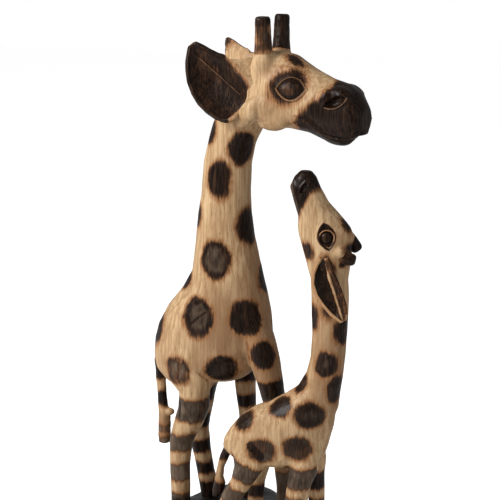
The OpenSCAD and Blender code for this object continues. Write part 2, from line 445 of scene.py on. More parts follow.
def burnt_wood():
    """Pale waxed wood, burnt where the piece's burn layer says so; that layer also holds painted shade
    in creases, round the calf's horns, on the far ear's back and up a leg under the calf.

    A second layer turns char grey-brown where it was scraped and darkens raw wood where it was
    handled, and also where shade is painted on the mother's forward side, chest and lower neck;
    "line" shows raw wood along a cut line.
    """
    made, tree, skin = finish("waxed_burnt_wood")

    def painted(name):
        return plain(tree, "ShaderNodeAttribute", attribute_name=name).outputs["Fac"]

    fine_grain = streaks(tree, 1000, 60, detail=4)
    grain = streaks(tree, 330, 14, detail=5, distortion=0.3)
    broad = streaks(tree, 42, 14, detail=3)
    flecks = streaks(tree, 1100, 160, detail=1)
    fringe = streaks(tree, 620, 62, detail=3)
    wander = streaks(tree, 110, 80, detail=2)

    # Raw wood: straw to honey, in vertical streaks with short dark pores
    colour = tinted(tree, (0.38, 0.232, 0.118), (0.565, 0.385, 0.215), between(tree, grain, 0.34, 0.66))
    colour = tinted(tree, colour, (0.30, 0.168, 0.078), between(tree, broad, 0.50, 0.76, 0.0, 0.6))
    colour = tinted(tree, colour, (0.20, 0.105, 0.048), between(tree, fine_grain, 0.54, 0.72, 0.0, 0.55))
    colour = tinted(tree, colour, (0.10, 0.048, 0.022), between(tree, flecks, 0.66, 0.74, 0.0, 0.5))

    # Raw wood darkened by the second layer: where it was handled, and as painted shade on the side away
    # from the light
    raw_wood_darkening = between(tree, sum_of(tree, painted("rubbed"), broad, 0.5), 0.25, 1.05, 0.0, 0.75)
    colour = tinted(tree, colour, (0.235, 0.125, 0.062), raw_wood_darkening)

    # The burn, and the painted shade kept in the same layer: a toasted fringe that runs along the
    # grain, then char with fibres showing in it
    heat_and_shade = sum_of(tree, painted("burn"), between(tree, fringe, 0.25, 0.75, -0.5, 0.5), 0.11)
    heat_and_shade = sum_of(tree, heat_and_shade, between(tree, wander, 0.3, 0.7, -0.5, 0.5), 0.12)
    colour = tinted(tree, colour, (0.27, 0.115, 0.042), between(tree, heat_and_shade, 0.25, 0.46, 0.0, 0.85))
    colour = tinted(tree, colour, (0.080, 0.035, 0.016), between(tree, heat_and_shade, 0.40, 0.53))
    fibres_in_char = between(tree, fine_grain, 0.38, 0.66)
    char = tinted(tree, (0.005, 0.0022, 0.0014), (0.026, 0.0125, 0.007), fibres_in_char)
    char = tinted(tree, char, (0.055, 0.026, 0.013), between(tree, grain, 0.54, 0.74, 0.0, 0.7))
    scraped = sum_of(tree, painted("rubbed"), sum_of(tree, fringe, wander, 1.2), 0.6)
    char = tinted(tree, char, (0.165, 0.115, 0.078), between(tree, scraped, 0.85, 1.75))
    charred = between(tree, heat_and_shade, 0.46, 0.62)
    colour = tinted(tree, colour, char, charred)
    cut_line = between(tree, sum_of(tree, painted("line"), fine_grain, 0.25), 0.45, 0.85)
    colour = tinted(tree, colour, (0.36, 0.185, 0.085), cut_line)
    tree.links.new(colour, skin.inputs["Base Color"])

    # Wax lies smoother on the char than on the open grain
    polish = between(tree, sum_of(tree, grain, charred, -0.35), 0.1, 0.75, 0.34, 0.56)
    tree.links.new(polish, skin.inputs["Roughness"])
    skin.inputs["Coat Weight"].default_value = 0.06
    skin.inputs["Coat Roughness"].default_value = 0.16
    skin.inputs["Specular IOR Level"].default_value = 0.09
    relief = plain(tree, "ShaderNodeBump", Strength=0.75, Distance=0.0004)
    height = sum_of(tree, grain, fine_grain, 0.45)
    height = sum_of(tree, height, charred, -0.35)
    height = sum_of(tree, height, flecks, 0.3)
    tree.links.new(height, relief.inputs["Height"])
    tree.links.new(relief.outputs["Normal"], skin.inputs["Normal"])
    return made


# Oval sections from the belly up, or from the foot up: (x, y, z, half length, half width)
mother_trunk = [
    (-66, 22, 149, 12, 14), (-64, 22, 154, 24, 22), (-58, 22, 164, 38, 28), (-50, 22, 178, 48, 31),
    (-40, 22, 194, 57.5, 31.5), (-38, 22, 208, 55.5, 31.5), (-34, 22, 226, 49.5, 30.5),
    (-29, 22, 245, 40.5, 28.5), (-26, 22, 262, 33.5, 26.5), (-27, 22, 280, 30.5, 24.5),
    (-28, 22, 296, 27.5, 22.5), (-28, 22, 316, 25.5, 20.5), (-27, 22, 338, 23, 19.5),
    (-25, 22, 366, 22.5, 18.5), (-21, 21, 384, 22, 18.5), (-15, 20, 400, 23.5, 19.5),
    (-8, 19, 424, 22, 20), (2, 16, 446, 16, 16)]
mother_hind_right = [
    (-70, 4, 14, 12, 10.5), (-70, 4, 22, 11, 10), (-70, 4, 33, 9.5, 9.3), (-70, 4, 45, 9.5, 9),
    (-70, 4, 72, 10, 9.5), (-68, 4, 95, 12, 10.5), (-62, 4, 112, 14.5, 12.5), (-55.5, 5, 130, 15.5, 14),
    (-55.5, 7, 146, 14.5, 15.5), (-60, 10, 162, 26, 18), (-58, 15, 180, 34, 20), (-50, 20, 204, 30, 18)]
mother_hind_left = [
    (-48, 40, 14, 8, 8.5), (-49, 40, 24, 10, 9.5), (-51, 40, 36, 9.8, 9.2), (-54, 40, 50, 9, 8.5),
    (-58, 40, 75, 9.5, 9), (-60, 40, 95, 10, 9.5), (-59, 40, 115, 12.5, 11.5),
    (-57, 39, 140, 16, 14.5), (-58, 36, 165, 26, 17), (-50, 28, 196, 28, 20)]
mother_front_right = [
    (35, 4, 14, 10.5, 10), (34, 4, 30, 9, 9), (33, 4, 55, 8, 8), (31, 4, 78, 8.5, 8.5),
    (28, 4, 110, 9.5, 9.5), (23, 4, 140, 11, 11), (18, 5, 162, 12.5, 12.5), (12, 8, 182, 15, 15),
    (5, 12, 204, 16, 18), (-6, 18, 232, 14, 16)]
mother_front_left = [
    (-6, 40, 14, 10.5, 10), (-7, 40, 30, 9, 9), (-8, 40, 50, 8, 8.5), (-9, 40, 75, 8, 8.5),
    (-11, 40, 110, 8.5, 9), (-13, 40, 140, 10, 10.5), (-13, 38, 165, 12.5, 13),
    (-6, 34, 190, 20, 16), (-10, 26, 222, 18, 14)]

# The head is roughed out straight along X from the top of the neck, in sections of (x, y, z, half
# height, half width), and then turned to her right
head_pivot = (-12, 22, 0)
head_turn = -20
mother_head = [
    (-16, 22, 432, 14, 10), (-6, 22, 433, 27, 18), (8, 22, 434, 32, 22.5), (26, 22, 436, 34, 24.5),
    (42, 22, 435, 32.5, 23.5), (60, 22, 429, 28.5, 21), (80, 22, 421, 28, 18.5),
    (95, 22, 419.5, 26, 18.5), (105.5, 22, 418.5, 20.5, 17), (112.5, 22, 416, 11.5, 11.5)]
head_parts = [rough_out("head", mother_head, turned=True)]
for side in (-1, 1):
    head_parts += [
        lump((94.5, 22 + side * 9.5, 436), (12, 8, 7.5), tip=26),
        lump((80, 22 + side * 12.5, 433), (7, 7.5, 10), tip=20),
        lump((98.5, 22 + side * 8, 419), (12, 10, 15), tip=-12),
        lump((30, 22 + side * 14, 414), (20, 9, 13), tip=-8),
        lump((42, 22 + side * 11, 454), (17, 9, 6.5), tip=12),
        lump((10, 22 + side * 23, 417), (18, 8, 9), tip=-50),
        lump((23, 22 + side * 17.5, 422), (16, 8.5, 13), tip=-35),
        rough_out("horn_foot", [
            (19.5, 22 + side * 10, 440, 18, 11), (19.5, 22 + side * 11.5, 451, 16, 11),
            (19.5, 22 + side * 13.5, 458, 12.5, 10.5), (19.5, 22 + side * 14.3, 463, 10.2, 10.2),
            (19.5, 22 + side * 14.5, 468, 8.9, 8.9), (19.5, 22 + side * 14.6, 472, 7.4, 7.4)])]
head_parts.append(lump((90, 22, 401), (18, 12, 9.5), tip=-4))
for part in head_parts:
    turn_about(part, head_pivot, head_turn)

limbs = [rough_out("mother_limb", sections) for sections in (
    mother_trunk, mother_hind_right, mother_hind_left, mother_front_right, mother_front_left)]
belly = lump((-29, 21, 174), (31, 27, 20), tip=-6)
mother = blend_block("mother_carving", [*limbs, belly, *head_parts], grain_of_mesh=1.6, smoothing=11)


def in_head(points):
    """Points in the mother's head frame: forward from the neck, out from the middle, height."""
    turn = math.radians(head_turn)
    x = points[:, 0] - head_pivot[0]
    y = points[:, 1] - head_pivot[1]
    return (x * math.cos(turn) + y * math.sin(turn),
            np.abs(y * math.cos(turn) - x * math.sin(turn)), points[:, 2])


# Each height in mm: her head stands above head_from, and the knife works above face_from
head_from = 388
face_from = 385
eye = dict(centre=(61.9, 440.0), halves=(13.2, 9.8), tilt=2, point=0.85)
nostril = dict(centre=(103.0, 431.5), halves=(11.5, 4.6), tilt=25, point=0.7)
mouth_forward = [66, 74, 80, 84.6, 90.7, 101, 112, 122]
mouth_height = [416.6, 414.9, 411.7, 407.2, 403.4, 401, 400.6, 402.5]


def mouth_offset(forward, height):
    """Height in mm above the line where the lips meet."""
    return height - np.interp(forward, mouth_forward, mouth_height)


def near_face_detail(middles):
    """True where the eyes, nostrils and lips will be cut."""
    forward, out, height = in_head(middles)
    eye_area = (out > 6) & (almond(forward, height, **eye) < 1.75)
    nostril_area = (out > 3) & (almond(forward, height, **nostril) < 1.8)
    lips = (forward > 61) & (np.abs(mouth_offset(forward, height)) < 5.5) & (height < 424)
    return (middles[:, 2] > face_from) & (eye_area | nostril_area | lips)


refine(mother, near_face_detail, cuts=2)


def mother_face_height(points):
    """The cuts in the mother's face, in mm out from its smooth form."""
    forward, out, height = in_head(points)
    on_head = (points[:, 2] > face_from) & (forward > 20)
    ring = almond(forward, height, **eye)
    eye_cut = np.interp(
        ring, [0, 0.45, 0.78, 0.88, 0.95, 1.02, 1.1, 1.18, 1.4, 1.75],
        [1.2, 0.8, -0.5, -1.5, -1.3, 0.4, 0.2, -0.9, -0.6, 0])
    ring = almond(forward, height, **nostril)
    nostril_cut = np.interp(ring, [0, 0.5, 0.85, 1.0, 1.15, 1.5], [-5.0, -4.2, -1.6, 0.2, 0.2, 0])
    lips = mouth_offset(forward, height)
    fade = np.interp(forward, [64, 70], [0, 1]) * (height < 424)
    lip_cut = fade * np.interp(
        lips, [-6, -2.5, -0.9, 0, 0.6, 1.6, 5], [0, 0.5, -0.2, -3.0, -0.6, 1.3, 0])
    chin = np.interp(forward, [104, 112], [0, 1]) * np.interp(lips, [-9, -5, -1, 0], [0, 1, 1, 0])
    lip_cut = lip_cut - 3.2 * chin
    total = np.where(out > 6, eye_cut, 0) + np.where(out > 3, nostril_cut, 0) + lip_cut
    return np.where(on_head, total, 0)


cut_in(mother, mother_face_height)
points = mesh_points(mother)
uneven = np.interp(points[:, 2], [20, 60, 400, 420], [0.25, 0.5, 0.5, 0.2])
cut_in(mother, lambda spots: uneven * (1.3 * ripple(spots, 26, 5) + 0.45 * ripple(spots, 9, 6)))

# Where the near fore leg and thigh meet the body, and splits in two of the burnt spots
mother_creases = [((-2, 203), (0, 180)), ((-47, 168), (-41, 161))]
mother_splits = [((-68, 161), (-67, 181)), ((-56, 217), (-41, 230)), ((-67, 124), (-67, 138))]
near_side = 8


def mother_knife(points):
    """The creases and splits on her near side, in mm out from the smooth form."""
    depth = sum(along_cut(points, start, end, 1.6) for start, end in mother_creases)
    depth = depth + 0.7 * sum(along_cut(points, start, end, 0.8) for start, end in mother_splits)
    return np.where(points[:, 1] < near_side, -0.9 * depth, 0)


cut_in(mother, mother_knife)

# (x, y, z, half width, half height)
mother_spots = [
    (-8, 6, 382, 13, 15.5), (-30, 3, 353, 11.5, 17), (-4, 14, 309, 12.5, 17), (-32, -2, 279.5, 14, 17.5),
    (-40, 14, 396, 10, 11), (-52, 18, 317, 10, 11), (-48, -8, 225, 14.5, 18.5), (-3, -3, 225.5, 15, 17),
    (-26, -7, 174, 15.5, 14), (-95, 15, 205, 13, 16), (-65, 14, 254, 9, 9),
    (9, 21, 257, 10, 12.5), (14, -5, 191, 11.5, 13),
    # Her left side and back, burnt in the same loose rows
    (-12, 40, 360, 12, 16), (-32, 42, 325, 12, 15), (-14, 45, 287, 13, 16), (-44, 44, 262, 12, 13),
    (-8, 50, 238, 14, 15), (-50, 52, 226, 15, 17), (-84, 44, 196, 13, 15), (-26, 52, 192, 15, 14),
    (-64, 50, 168, 13, 13), (2, 46, 196, 11, 13), (-44, 30, 364, 11, 14), (-80, 30, 232, 11, 11),
    (12, 30, 214, 10, 13), (-44, 36, 398, 10, 10), (10, 20, 176, 9, 10)]
# Her hip spot is scraped back until it is hardly burnt
mother_hip_spot = (-68, -6, 170.5, 12, 13.8)
# (x, y, z, reach, half height, slope)
mother_bands = [
    (-56, 4, 130.5, 18, 10.5, 0), (22, 4, 156.5, 18, 9.6, 0.18), (27, 4, 112, 15, 7.5, 0),
    (-13, 39, 158, 17, 7.8, 0), (-12, 40, 130, 14, 6, 0), (-10, 40, 100, 13, 6.5, 0),
    (-9, 40, 70, 12, 6.5, 0), (-67, 4, 96, 17, 8, 0.12), (-70, 4, 65, 14, 8.2, 0.1),
    (-59, 40, 104, 16, 7, 0.1), (-58, 40, 77, 14, 6, 0.1), (-54, 40, 54, 13, 6, 0.1),
    (-57, 39, 134, 20, 7.5, 0.1)]
# Black hooves. The near fore leg's patch reaches up to 74 mm; above the hoof it is painted shade under the
# calf's belly
mother_hooves_and_shade = [
    (-70, 4, 16, 14, 25, 0), (-49, 40, 16, 14, 24, 0.1), (33, 4, 20, 14, 54, 0), (-7, 40, 16, 14, 25, 0)]
muzzle_height = [398, 410, 416, 423, 431, 436, 444, 452]
muzzle_back = [64, 65, 68, 75, 86, 91, 96.5, 100]

points = mesh_points(mother)
forward, out, height = in_head(points)
on_head = points[:, 2] > head_from
burn = np.maximum(from_spots(points, mother_spots), from_bands(points, mother_bands))
burn = np.maximum(burn, from_bands(points, mother_hooves_and_shade))
burn = np.maximum(burn, np.minimum(from_spots(points, [mother_hip_spot]), 0.9))

muzzle = (forward - np.interp(height, muzzle_height, muzzle_back)) * 0.55
burn = darkened_where(burn, on_head, muzzle)
ring = almond(forward, height, **eye)
halo = almond(forward + 4.0, height - 1.5, eye["centre"], (15.5, 13.0), 35, point=0.2)
lids = np.interp(ring, [0, 0.55, 0.75, 0.95, 1.05, 1.15], [0.9, 1.3, 4, 6, 1, -40])
eye_burn = np.maximum(np.where(ring < 0.75, -9, (1 - halo) * 7.5), lids)
burn = darkened_where(burn, on_head & (out > 6), eye_burn)
brow = np.hypot((forward - 60) / 8.5, (out - 7) / 4)
burn = darkened_where(burn, on_head & (height > 456), (1 - brow) * 4)
horn_scorch = np.hypot(forward - 31.5, out - 14.5) - 8.5
horn_scorch = -1.2 - horn_scorch * 0.8 - np.maximum(470 - points[:, 2], 0) * 0.7
burn = darkened_where(burn, on_head, horn_scorch)
# Painted shade: the creases on her near side, where the fore leg and thigh meet the body, are darkened in
# the burn layer
crease_shade = sum(along_cut(points, start, end, 1.5) for start, end in mother_creases)
burn = darkened_where(burn, (points[:, 1] < near_side) & (crease_shade > 0.1), -5 + 4.5 * crease_shade)
paint(mother, burn=as_burn(burn))

scraped = [(-47, -9, 226, 14, 18), (-32, -2, 279.5, 14, 17.5), mother_hip_spot, (-63, -6, 131, 9, 11)]
rubbed = np.maximum(
    0.5 * np.clip(from_spots(points, scraped[:2]) / 6, 0, 1),
    0.8 * np.clip(from_spots(points, scraped[2:]) / 7, 0, 1))
rubbed = np.maximum(rubbed, 0.1 * np.clip(from_spots(points, mother_spots) / 8, 0, 1))
legs = np.interp(points[:, 2], [30, 45, 150, 180], [0.1, 0.8, 0.45, 0]) * (burn > -1) * (points[:, 1] < 21)
# Raw wood is darker mid-body, where it was handled; forward of the chest and below the neck it is darker
# as painted shade, on the side away from the light
raw_wood_darkening = np.exp(-((points[:, 0] + 18) / 38) ** 2 - ((points[:, 2] - 212) / 46) ** 2)
painted_front_shade = 0.8 * np.interp(points[:, 0], [-14, 4], [0, 1]) * np.interp(points[:, 2], [340, 396], [1, 0])
raw_wood_darkening = np.maximum(raw_wood_darkening, painted_front_shade)
raw_wood_darkening = np.where(burn < -1, 0.75 * raw_wood_darkening, 0)
splits = sum(along_cut(points, start, end, 0.9) for start, end in mother_splits)
ball = 0.12 * (ring < 0.9) * (out > 6) * on_head
brows = 0.5 * np.exp(-((forward - 38) / 12) ** 2 - ((height - 455) / 6) ** 2) * on_head * (burn < -1)
rubbed = np.maximum(np.maximum(np.maximum(rubbed, legs), raw_wood_darkening), np.maximum(ball, brows))
paint(mother, rubbed=rubbed * (1 - 0.8 * np.clip(splits, 0, 1)))
ring_nostril = almond(forward, height, **nostril)
line = np.interp(np.abs(ring - 1.0), [0, 0.035, 0.07], [0.8, 0.6, 0]) * (out > 6)
lower_rim = height - nostril["centre"][1] < (forward - nostril["centre"][0]) * 0.47 - 0.5
nostril_line = np.interp(np.abs(ring_nostril - 1.0), [0, 0.06, 0.12], [0.62, 0.4, 0])
line = np.maximum(line, nostril_line * lower_rim * (out > 3))
lip_line = np.interp(np.abs(mouth_offset(forward, height) + 1.6), [0, 0.5, 0.9], [0.45, 0.3, 0])
line = np.maximum(line, lip_line * (forward > 76) * (forward < 117) * (height < 424))
paint(mother, line=np.where(on_head & (forward > 30), line, 0))

wood = burnt_wood()
mother.data.materials.append(wood)
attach(mother, "root")
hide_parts("mother_body")


# ---- Mother's horns ---------------------------------------------------------------------------
# Two stubby round horns of the same wood, each whittled to a flared foot and glued into the brow by a
# tenon. They are scorched brown (the near one) or nearly black, and black at their flat tops.

# (height above the foot, radius)
horn_profile = [
    (-8, 7.6), (-2, 8.2), (4, 8.7), (8, 8.4), (13, 7.9), (19, 7.4), (30, 6.9), (36, 6.8), (39, 6.5),
    (40.3, 5.0)]


def turned_horn(name, foot, profile, lean, knock):
    """A horn as rings of (height, radius) in mm, leaning out sideways, roughened by the knife."""
    sections = [(foot[0], foot[1], foot[2] + rise, radius, radius) for rise, radius in profile]
    horn = blend_block(name, [rough_out(name, sections)], grain_of_mesh=0.7, smoothing=3)
    turn_about(horn, foot, lean, axis="X")
    cut_in(horn, lambda spots: knock * (ripple(spots, 9, 8) + 0.5 * ripple(spots, 3, 9)))
    return horn


horn_foot = (19.5, 14.5, 459)
for side, node in ((-1, "mother_horn_right"), (1, "mother_horn_left")):
    foot = (horn_foot[0], head_pivot[1] + side * horn_foot[1], horn_foot[2])
    horn = turned_horn(node + "_carving", foot, horn_profile, lean=-3 * side, knock=0.3)
    turn_about(horn, head_pivot, head_turn)
    points = mesh_points(horn)
    rise = points[:, 2] - horn_foot[2]
    full = 0.53 if side < 0 else 0.62
    fade = 4 if side < 0 else 0
    scorch_rise = [fade - 2, fade + 5, fade + 12, 32, 37, 40]
    paint(horn, burn=np.interp(rise, scorch_rise, [0.2, 0.43, full, full, 0.7, 1.0]))
    paint(horn, rubbed=np.interp(rise, [0, 10, 30, 37], [0.2, 0.3, 0.25, 0.0]))
    paint(horn, line=0.5 * (ripple(points, 4, 11) > 0.45) * np.interp(rise, [36, 38], [0, 1]))
    horn.data.materials.append(wood)
    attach(horn, "root")
    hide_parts(node)


# ---- Mother's ears ----------------------------------------------------------------------------
# Broad leaf-shaped ears swept back from the head, glued in by tenons. They are hollowed to a thin
# wall with a crisp rim and one raised rib, and scorched dark inside. The backs stay pale.

# How far the leaf reaches below and above the line from its root to its tip: (along, reach)
ear_low_edge = ([0, 2, 6, 15, 25, 36, 47, 58, 66, 72, 79, 81],
                [-25, -32, -36.5, -39.8, -41, -40.3, -37, -31.2, -24, -17.5, -6, 0])
ear_high_edge = ([0, 20, 28, 33, 39, 47, 53, 63, 72, 81], [24, 28, 28, 20, 14.6, 10, 7, 4.2, 2.4, 0])


def hollow_ear(
        name, root, tip, upward, low_edge, high_edge, wall, cup, cup_top, rib_at, rib, tuck, rows=60):
    """An ear from root to tip (mm): a grid bent to the leaf's outline and hollow, then walled.

    rib is (height, width), and above tuck the leaf slopes away into the head. Returns the piece,
    which points are in its hollow, and where each point lies along and across the leaf.
    """
    bpy.ops.object.select_all(action="DESELECT")
    bpy.ops.mesh.primitive_grid_add(x_subdivisions=rows, y_subdivisions=rows, size=2)
    ear = bpy.context.object
    ear.name = name
    flat = mesh_points(ear) * mm
    share = (flat[:, 0] + 1) / 2
    full = low_edge[0][-1]
    along = share * full
    low = np.interp(along, *low_edge)
    high = np.interp(along, *high_edge)
    across = low + (flat[:, 1] + 1) / 2 * (high - low)
    hollow_top = np.minimum(np.maximum(high, low + 1), cup_top)
    over = 2 * np.clip((across - low) / np.maximum(hollow_top - low, 1), 0, 1) - 1
    bowl = np.interp(share, [0, 0.5, 0.85, 1], [0.9, 1, 0.6, 0])
    deep = cup * np.clip(1 - over ** 2, 0, 1) ** 0.75 * bowl
    ridge = rib[0] * np.exp(-((across - rib_at) / rib[1]) ** 2)
    ridge = ridge * np.interp(share, [0.06, 0.2, 0.9, 1], [0, 1, 1, 0])
    axis = Vector(tip) - Vector(root)
    unit = axis.length / full
    axis.normalize()
    up = Vector(upward)
    up = (up - axis * up.dot(axis)).normalized()
    face = axis.cross(up)
    if face.y > 0:
        face = -face
    sink = 0.45 * np.maximum(across - np.interp(along, *tuck), 0)
    shape = np.stack([along * unit, across * unit, ridge - deep - sink + cup * 0.45], axis=1)
    move_mesh_points(ear, shape @ np.array([axis, up, face]) + np.array(root))
    paint(ear, leaf_along=along, leaf_across=across)
    bpy.ops.object.mode_set(mode="EDIT")
    bpy.ops.mesh.select_all(action="SELECT")
    bpy.ops.mesh.remove_doubles(threshold=0.05 * mm)
    bpy.ops.object.mode_set(mode="OBJECT")
    middle = ear.data.polygons[len(ear.data.polygons) // 2]
    if middle.normal.dot(face) < 0:
        ear.data.flip_normals()
    worked(ear, "SOLIDIFY", thickness=wall * mm, offset=-1)
    bpy.ops.object.shade_smooth()
    along = np.empty(len(ear.data.vertices))
    across = np.empty(len(ear.data.vertices))
    ear.data.attributes["leaf_along"].data.foreach_get("value", along)
    ear.data.attributes["leaf_across"].data.foreach_get("value", across)
    facing = np.empty(len(along) * 3)
    ear.data.vertices.foreach_get("normal", facing)
    inner = facing.reshape(-1, 3) @ np.array(face) > 0.1
    return ear, inner, along, across


def mirror_across(piece, y):
    """Mirrors a piece's mesh to the other side of the upright plane at y, in mm."""
    to_plane = Matrix.Translation((0, y * mm, 0))
    piece.data.transform(to_plane @ Matrix.Diagonal((1, -1, 1, 1)) @ to_plane.inverted())
    piece.data.flip_normals()


# The scorched hollow ends, and the leaf tucks away, this far above the line: (along, reach)
ear_scorch_edge = ([0, 6, 14, 25, 37, 47, 55], [-1, 2, 5, 7, 9, 12, 22])
ear_tuck = (ear_scorch_edge[0], [3, 6, 9, 11, 13, 16, 30])
ear_rib_at = -7.5
near_ear = dict(root=(13, -1, 431.5), tip=(-42, -9, 474), upward=(0.60, 0.35, 0.74))
far_ear = dict(root=(5, -3, 431), tip=(-54, -17, 471), upward=(0.55, 0.30, 0.78))
for side, node, place in ((-1, "mother_ear_right", near_ear), (1, "mother_ear_left", far_ear)):
    ear, inner, along, across = hollow_ear(
        node + "_carving", low_edge=ear_low_edge, high_edge=ear_high_edge, wall=3.6, cup=8,
        cup_top=10, rib_at=ear_rib_at, rib=(1.3, 1.6), tuck=ear_tuck, **place)
    edge = np.interp(along, *ear_scorch_edge)
    low = np.interp(along, *ear_low_edge)
    rim = np.clip(1 - np.abs(across - low) / 3.5, 0, 1) * 0.28
    tip_scorch = np.interp(along, [62, 76], [0, 0.3])
    rim = rim * (1 if side < 0 else 1.6) * np.interp(along, [8, 18], [0, 1])
    # Painted shadow: the far ear's back is darker near its base, where it meets the skull
    rim = rim + (0.10 if side > 0 else 0) * np.interp(along, [20, 40], [1, 0])
    burn = np.where(inner, 0.5 + (edge - across) / 22, 0.2 + np.maximum(tip_scorch, rim))
    lip = np.interp(along + across / 12, [-1.5, 1.0], [1, 0]) * (across < -6)
    paint(ear, burn=np.clip(burn, 0, 0.61) * (1 - 0.6 * lip))
    rib_line = np.interp(np.abs(across - ear_rib_at), [0, 0.6, 1.3], [0.55, 0.4, 0]) * inner
    root_line = np.interp(along + across / 12, [-1.5, -0.6, 0.4, 1.2], [0, 0.6, 0.5, 0]) * inner
    root_line = root_line * (across < -12)
    rib_line = rib_line * np.interp(along, [3, 12, 66, 74], [0, 1, 1, 0])
    paint(ear, line=np.maximum(rib_line, root_line))
    browned = np.interp(burn, [0.0, 0.3, 0.45, 0.5], [0, 0.3, 0.6, 0.1])
    paint(ear, rubbed=np.where(inner, browned, 0.0))
    if side > 0:
        mirror_across(ear, head_pivot[1])
    turn_about(ear, head_pivot, head_turn)
    ear.data.materials.append(wood)
    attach(ear, "root")
    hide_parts(node)


# ---- Mother's tail ----------------------------------------------------------------------------
# A short stick of the same wood with a chunky faceted tuft and one knot left on it. It is set into
# the rump by a tenon, and banded like the legs.

mother_tail_sections = [
    (-88, 22, 180, 8, 8), (-92, 22, 170, 7, 7), (-92.8, 22, 158, 5, 5.2), (-92.5, 22, 146, 4.7, 4.7),
    (-91.8, 22, 130, 4.6, 4.6), (-91, 22, 122, 5, 5), (-90, 22, 116, 5.8, 5.5),
    (-90, 22, 104, 6.2, 5.8), (-90.3, 22, 92, 6.2, 5.8), (-90.3, 22, 84, 5.8, 5.4)]
mother_tail = blend_block(
    "mother_tail_carving",
    [rough_out("mother_tail_carving", mother_tail_sections), lump((-84.5, 20, 117), (5, 4.5, 3.6))],
    grain_of_mesh=0.8, smoothing=3)
cut_in(mother_tail, lambda spots: 0.4 * (ripple(spots, 8, 12) + 0.5 * ripple(spots, 3, 13)))
points = mesh_points(mother_tail)
tail_bands = [
    (-92, 22, 160, 12, 9, 0), (-92, 22, 131, 12, 7, 0), (-90, 22, 100, 14, 3, 0), (-90, 22, 84, 14, 6, 0)]
burn = from_bands(points, tail_bands)
burn = np.where(points[:, 2] < 110, np.minimum(burn, 0.8), burn)
paint(mother_tail, burn=as_burn(burn))
paint(mother_tail, rubbed=np.interp(points[:, 2], [96, 114, 120], [0.9, 0.6, 0.1]))
paint(mother_tail, line=0)
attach(mother_tail, "root")
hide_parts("mother_tail")
mother_tail.data.materials.append(wood)


# ---- Calf's body ------------------------------------------------------------------------------
# The calf is a second block of the same wood, carved, burnt and waxed like its mother. It turns its
# head back to her and lifts its muzzle.

calf_trunk = [
    (30, -38, 103, 36, 15), (30, -38, 107, 41, 19), (30, -38, 114, 47.5, 21.5),
    (32, -38, 122, 48, 22.5), (36, -38, 132, 46.5, 22.5), (42, -38, 144, 43.5, 22.5),
    (49, -38, 154, 37.5, 21.5), (57, -38, 160, 31.5, 20.5), (64, -38, 168, 25.5, 18.5),
    (71, -38, 178, 19.5, 17), (76, -38, 192, 16.5, 15.5), (78.5, -38, 208, 15.5, 14.5),
    (79.5, -38, 228, 15.5, 13.5), (79.5, -38, 258, 16.5, 12.5), (78.5, -38, 280, 16.5, 13.5),
    (77.5, -38, 292, 19, 14.5), (76.5, -38, 302, 21, 15.5), (75.3, -38, 318, 24, 15.5),
    (73, -38, 326, 23, 14.5), (70, -38, 334, 19.5, 13.5), (61.8, -38, 347, 15.3, 12),
    (56.5, -38, 360, 13.5, 10), (56.5, -38, 369, 9.5, 8), (57, -38, 374, 5, 5)]
calf_hind_right = [
    (-9, -54, 14, 10, 9.5), (-9, -54, 40, 9, 8.5), (-8.5, -54, 62, 9.3, 9), (-3.5, -54, 75, 10.5, 10),
    (5, -54, 89, 11, 10.5), (11, -52, 102, 14, 12), (14, -49, 116, 20, 12), (22, -44, 134, 16, 10)]
calf_hind_left = [
    (11, -22, 15, 9, 8.5), (10, -22, 52, 7.5, 7.5), (11, -22, 74, 8, 8), (13, -24, 96, 13, 10),
    (16, -26, 110, 20, 11), (24, -32, 132, 16, 9)]
calf_front_right = [
    (46, -54, 11, 10, 9.5), (49, -54, 40, 9, 8.5), (53, -54, 66, 10, 9.5), (57, -54, 91, 11, 10.5),
    (61, -52, 106, 13, 11), (60, -48, 122, 15, 11), (56, -42, 144, 12, 9)]
calf_front_left = [
    (68, -22, 10, 9, 8.5), (68, -22, 52, 7.5, 7.5), (67, -22, 88, 8, 8.5), (64, -26, 106, 13, 10),
    (58, -32, 136, 14, 9)]
limbs = [rough_out("calf_limb", sections) for sections in (
    calf_trunk, calf_hind_right, calf_hind_left, calf_front_right, calf_front_left)]
# Brows and nostril wings, near and far
limbs += [
    lump((88.5, -50.5, 307), (5, 5, 5)), lump((61.5, -46, 362), (4.5, 4, 4), tip=30),
    lump((61.5, -30, 362), (4.5, 4, 4), tip=30), lump((88.5, -25.5, 307), (5, 5, 5))]
calf = blend_block("calf_carving", limbs, grain_of_mesh=1.15, smoothing=8)

# In mm: the plane down the calf's middle, and the height its head and its face start at
calf_middle = -38
calf_head_from = 285
calf_face_from = 290
calf_eye = dict(centre=(77.4, 320.4), halves=(11.6, 7.6), tilt=103, point=0.9)
calf_ball = (77.4, 319.6)
calf_nostril = dict(centre=(56.8, 361.0), halves=(5.6, 1.9), tilt=58)
calf_lips = ([344, 346.2, 353.2, 362.8, 368], [52.5, 51.5, 48.9, 46, 45])


def near_calf_detail(middles):
    """True where the calf's eyes, nostrils and lips will be cut."""
    out = np.abs(middles[:, 1] - calf_middle)
    x, z = middles[:, 0], middles[:, 2]
    eyes = (out > 6) & (almond(x, z, **calf_eye) < 1.4)
    nose = (out > 3) & (almond(x, z, **calf_nostril) < 2.4)
    lips = (np.abs(x - np.interp(z, *calf_lips)) < 3) & (z > 342) & (out > 2)
    return (z > calf_face_from) & (eyes | nose | lips)


refine(calf, near_calf_detail, cuts=2)


